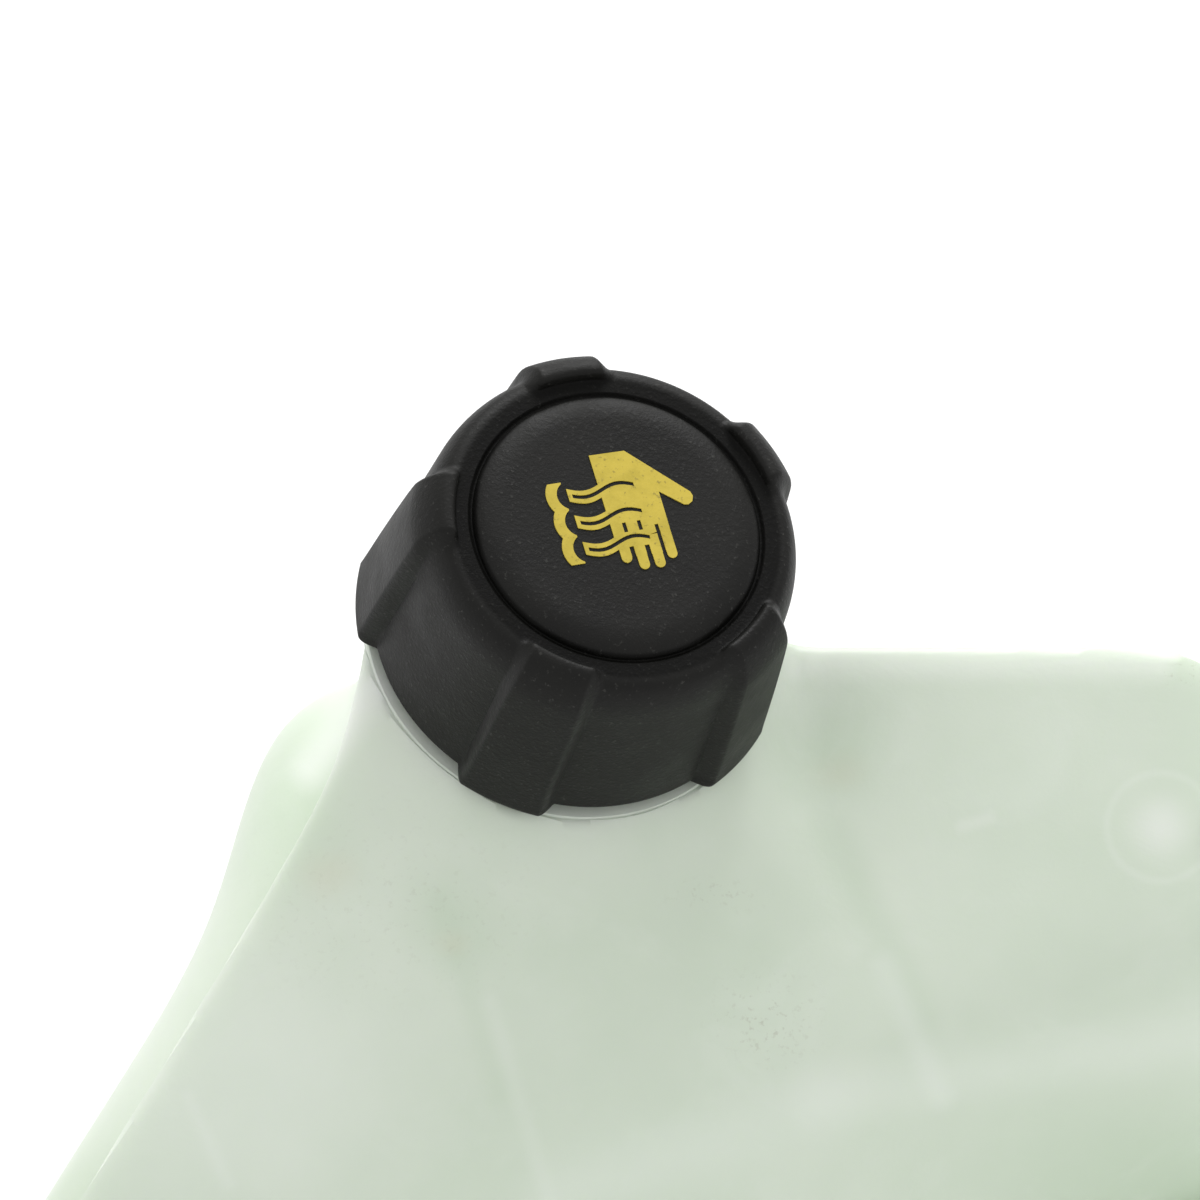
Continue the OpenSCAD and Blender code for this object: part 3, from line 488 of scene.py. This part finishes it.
# The valve insert inside the cap and the neck: carrier, spring cover and the small acetal poppet.
# Moulded black nylon that is snapped over the cap's inner bead, and natural acetal.
insert_mat, s, surface, place = material("black_nylon")
cloudy = s.noise(place, 180.0, 4.0, 0.6)
s.put(surface.inputs["Base Color"], s.mix(cloudy, (0.018, 0.018, 0.018), (0.03, 0.03, 0.03)))
s.put(surface.inputs["Roughness"], s.span(cloudy, 0.3, 0.7, 0.38, 0.5))
bump(s, surface, cloudy, 0.15, 0.0002)
acetal_mat, s, surface, place = material("natural_acetal")
milky = s.noise(place, 220.0, 4.0, 0.6)
s.put(surface.inputs["Base Color"], s.mix(milky, (0.62, 0.58, 0.46), (0.7, 0.66, 0.54)))
surface.inputs["Roughness"].default_value = 0.35
bump(s, surface, milky, 0.1, 0.0002)
dress(insert_mat, "valve_carrier", "spring_cover")
dress(acetal_mat, "vacuum_poppet")

# The screw cap: a black glass-filled nylon moulding with five grip lugs that widen downwards, a
# flat ring and a raised disc. Its fine eroded texture has greyed a little with dust and handling.
cap = Body()
plain = [(21.3, 33.0), (22.4, 33.0), (23.2, 33.0), (24.1, 32.9), (24.9, 32.5), (25.5, 31.8),
         (26.0, 30.9), (26.4, 29.8), (26.65, 28.7), (26.8, 27.6), (26.9, 26.2), (27.6, 15.0),
         (28.4, 3.6), (28.5, 2.8), (28.45, 2.4), (28.2, 2.2), (27.0, 2.2), (25.0, 2.2),
         (24.4, 2.4), (24.4, 4.0), (24.4, 22.0)]
lugs = [(21.3, 33.0), (22.6, 33.0), (23.1, 33.1), (23.25, 33.8), (23.5, 34.5), (24.1, 34.8),
        (25.3, 34.5), (26.4, 33.6), (27.5, 32.0), (28.3, 30.2), (28.75, 28.2), (30.0, 15.0),
        (30.8, 4.0), (30.9, 2.9), (30.8, 2.2), (30.3, 1.8), (29.0, 1.7), (27.0, 1.9),
        (24.4, 2.4), (24.4, 4.0), (24.4, 22.0)]


def rounded(points, times):
    p = np.asarray(points, float)
    for _ in range(times):
        q = np.empty((len(p) * 2, 2))
        q[0::2], q[1::2] = p, p
        cut = np.empty((2 * len(p) - 2, 2))
        cut[0::2] = 0.75 * p[:-1] + 0.25 * p[1:]
        cut[1::2] = 0.25 * p[:-1] + 0.75 * p[1:]
        p = np.concatenate([p[:1], cut, p[-1:]])
    return p


base, proud = rounded(plain, 2), rounded(lugs, 2)
angles = np.linspace(0, 2 * math.pi, 720, endpoint=False)
share = np.linspace(0, 1, len(base))
away = (angles - math.radians(18) + math.pi / 5) % (2 * math.pi / 5) - math.pi / 5
rows = []
for i in range(len(base)):
    y = abs(proud[i, 0] * np.sin(away))
    half = 5.6 + 1.6 * ease(0.3, 0.75, share[i])
    w = np.clip((half + 0.7 - y) / 2.1, 0, 1)
    w = w * w * (3 - 2 * w) * 0.4 + (1 - (1 - w) ** 2) * 0.6
    r = base[i, 0] + (proud[i, 0] - base[i, 0]) * w
    z = base[i, 1] + (proud[i, 1] - base[i, 1]) * w
    rows.append(np.stack([r * np.cos(angles), r * np.sin(angles), z], -1))
cap.grid(np.stack(rows), TO_NECK)
turn = np.linspace(math.pi / 2, 0, 12)
edge = [(20.5 - 4.6 * (1 - math.cos(a)), 34.5 - 1.8 * (1 - math.sin(a))) for a in turn]
groove = [(20.6, 32.5), (20.9, 32.6), (21.15, 32.9), (21.3, 33.0)]
disc = rounded([(0, 34.5), (8, 34.5), (14, 34.5)] + edge + groove, 1)
cap.revolve(disc, TO_NECK, 256)
cap.revolve([(24.4, 22.0), (24.4, 30.5), (0, 30.5)], TO_NECK, 128)
cap_body = cap.made("cap_body", 50)
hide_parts("cap_shell")
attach(cap_body, "cap")
cap_mat, s, surface, place = material("black_cap_nylon")
fleck = s.noise(place, 1500.0, 3.0, 0.7)
worn = s.noise(place, 60.0, 5.0, 0.65)
from_neck = s.vector("SUBTRACT", place, tuple(NECK * MM))
height = s.vector("DOT_PRODUCT", from_neck, tuple(AXIS), 1)
radius = s.vector("LENGTH", s.vector("CROSS_PRODUCT", from_neck, tuple(AXIS)), (0, 0, 0), 1)
# Painted shade: the flat ring and the groove round the disc are painted darker and given a lower
# specular level, as shade in the recess.
annulus_shade = s.span(s.math("ABSOLUTE", s.math("SUBTRACT", height, 0.0328)), 0.0004, 0.0009, 1.0, 0.0)
annulus_shade = s.math("MULTIPLY", annulus_shade, s.span(radius, 0.0228, 0.0242, 1.0, 0.0))
colour = s.mix(s.span(worn, 0.35, 0.7), (0.0044, 0.0043, 0.0036), (0.0078, 0.0077, 0.0064))
colour = s.mix(s.math("MULTIPLY", s.span(fleck, 0.6, 0.72), 0.5), colour, (0.06, 0.06, 0.055))
colour = s.mix(s.math("MULTIPLY", annulus_shade, 0.5), colour, (0.001, 0.001, 0.001))
s.put(surface.inputs["Base Color"], colour)
s.put(surface.inputs["Roughness"], s.span(worn, 0.3, 0.7, 0.46, 0.6))
s.put(surface.inputs["Specular IOR Level"], s.span(annulus_shade, 0.0, 1.0, 0.22, 0.1))
bump(s, surface, fleck, 0.5, 0.0002)
cap_body.data.materials.append(cap_mat)

# The yellow inlay in the cap's disc: a hand over rising steam. A second shot of yellow plastic in a
# shallow recess, standing a little proud and rubbed paler at its edges.
inlay_mat, s, surface, place = material("yellow_inlay")
rubbed = s.noise(place, 240.0, 5.0, 0.65)
spot = s.noise(place, 1300.0, 3.0, 0.6)
colour = s.mix(s.span(rubbed, 0.35, 0.68), srgb(203, 181, 60), srgb(185, 165, 44))
colour = s.mix(s.math("MULTIPLY", s.span(spot, 0.58, 0.72), 0.55), colour, srgb(96, 84, 34))
s.put(surface.inputs["Base Color"], colour)
s.put(surface.inputs["Roughness"], s.span(rubbed, 0.3, 0.7, 0.4, 0.55))
bump(s, surface, spot, 0.3, 0.0001)
dress(inlay_mat, "hot_symbol")

# The stand: a plain pale floor, a white surround and soft studio lights.
floor_mesh = bpy.data.meshes.new("floor")
floor_mesh.from_pydata([(-3, -3, 0), (3, -3, 0), (3, 3, 0), (-3, 3, 0)], [], [(0, 1, 2, 3)])
floor = bpy.data.objects.new("floor", floor_mesh)
bpy.context.scene.collection.objects.link(floor)
floor_mat, s, surface, place = material("pale_floor")
soft = s.noise(place, 3.0, 2.0, 0.5)
s.put(surface.inputs["Base Color"], s.mix(soft, (0.93, 0.93, 0.93), (0.95, 0.95, 0.95)))
surface.inputs["Roughness"].default_value = 0.9
floor.data.materials.append(floor_mat)

world = bpy.data.worlds.new("studio")
bpy.context.scene.world = world
world.use_nodes = True
tree = world.node_tree
tree.nodes.clear()
s = Shader(tree)
seen, lit, out = s.add("Background"), s.add("Background"), s.add("OutputWorld")
seen.inputs["Color"].default_value, seen.inputs["Strength"].default_value = (1, 1, 1, 1), 1.0
upward = s.add("SeparateXYZ")
s.put(upward.inputs[0], s.add("TexCoord").outputs["Generated"])
s.put(lit.inputs["Strength"], s.span(upward.outputs[2], 0.1, 0.95, 1.0, 1.04, smooth=False))
path = s.add("LightPath")
either = s.math("MAXIMUM", path.outputs["Is Camera Ray"], path.outputs["Is Transmission Ray"])
blend = s.add("MixShader")
s.put(blend.inputs[0], either)
tree.links.new(lit.outputs[0], blend.inputs[1])
tree.links.new(seen.outputs[0], blend.inputs[2])
tree.links.new(blend.outputs[0], out.inputs["Surface"])


def softbox(name, at, aim, size, power):
    light = bpy.data.lights.new(name, "AREA")
    light.shape, light.size, light.energy = "SQUARE", size, power
    obj = bpy.data.objects.new(name, light)
    bpy.context.scene.collection.objects.link(obj)
    obj.location = at
    obj.rotation_mode = "QUATERNION"
    obj.rotation_quaternion = (Vector(aim) - Vector(at)).to_track_quat("-Z", "Y")


softbox("left", (-1.1, 0.1, 0.5), (0, 0, 0.1), 0.4, 0.5)
softbox("behind", (0.15, 0.9, 0.9), (0, 0, 0.1), 0.6, 9)

# The camera stands 3 m off, high in front, so that the view is nearly without perspective.
RIGHT, UP = Vector((1, 0, 0)), Vector((0, math.sin(math.pi / 4), math.cos(math.pi / 4)))
TOWARDS = Vector((0, -math.cos(math.pi / 4), math.sin(math.pi / 4)))
PER_MM, PICTURE, FILM, AWAY = 7.1, 1200, 36, 3.0
PLATFORM_AT = (566, 634)
camera = bpy.data.objects.new("camera", bpy.data.cameras.new("camera"))
bpy.context.scene.collection.objects.link(camera)
shift = RIGHT * (PICTURE / 2 - PLATFORM_AT[0]) + UP * (PLATFORM_AT[1] - PICTURE / 2)
centre_at = Vector((NECK * MM).tolist()) + shift * (MM / PER_MM)
camera.location = centre_at + TOWARDS * AWAY
camera.rotation_mode = "QUATERNION"
camera.rotation_quaternion = (-TOWARDS).to_track_quat("-Z", "Y")
camera.data.sensor_width = FILM
camera.data.lens = FILM * AWAY / (PICTURE / PER_MM * MM)
camera.data.clip_start, camera.data.clip_end = 0.5, 20
bpy.context.scene.camera = camera
bpy.context.scene.view_settings.view_transform = "Standard"

bpy.context.view_layer.update()
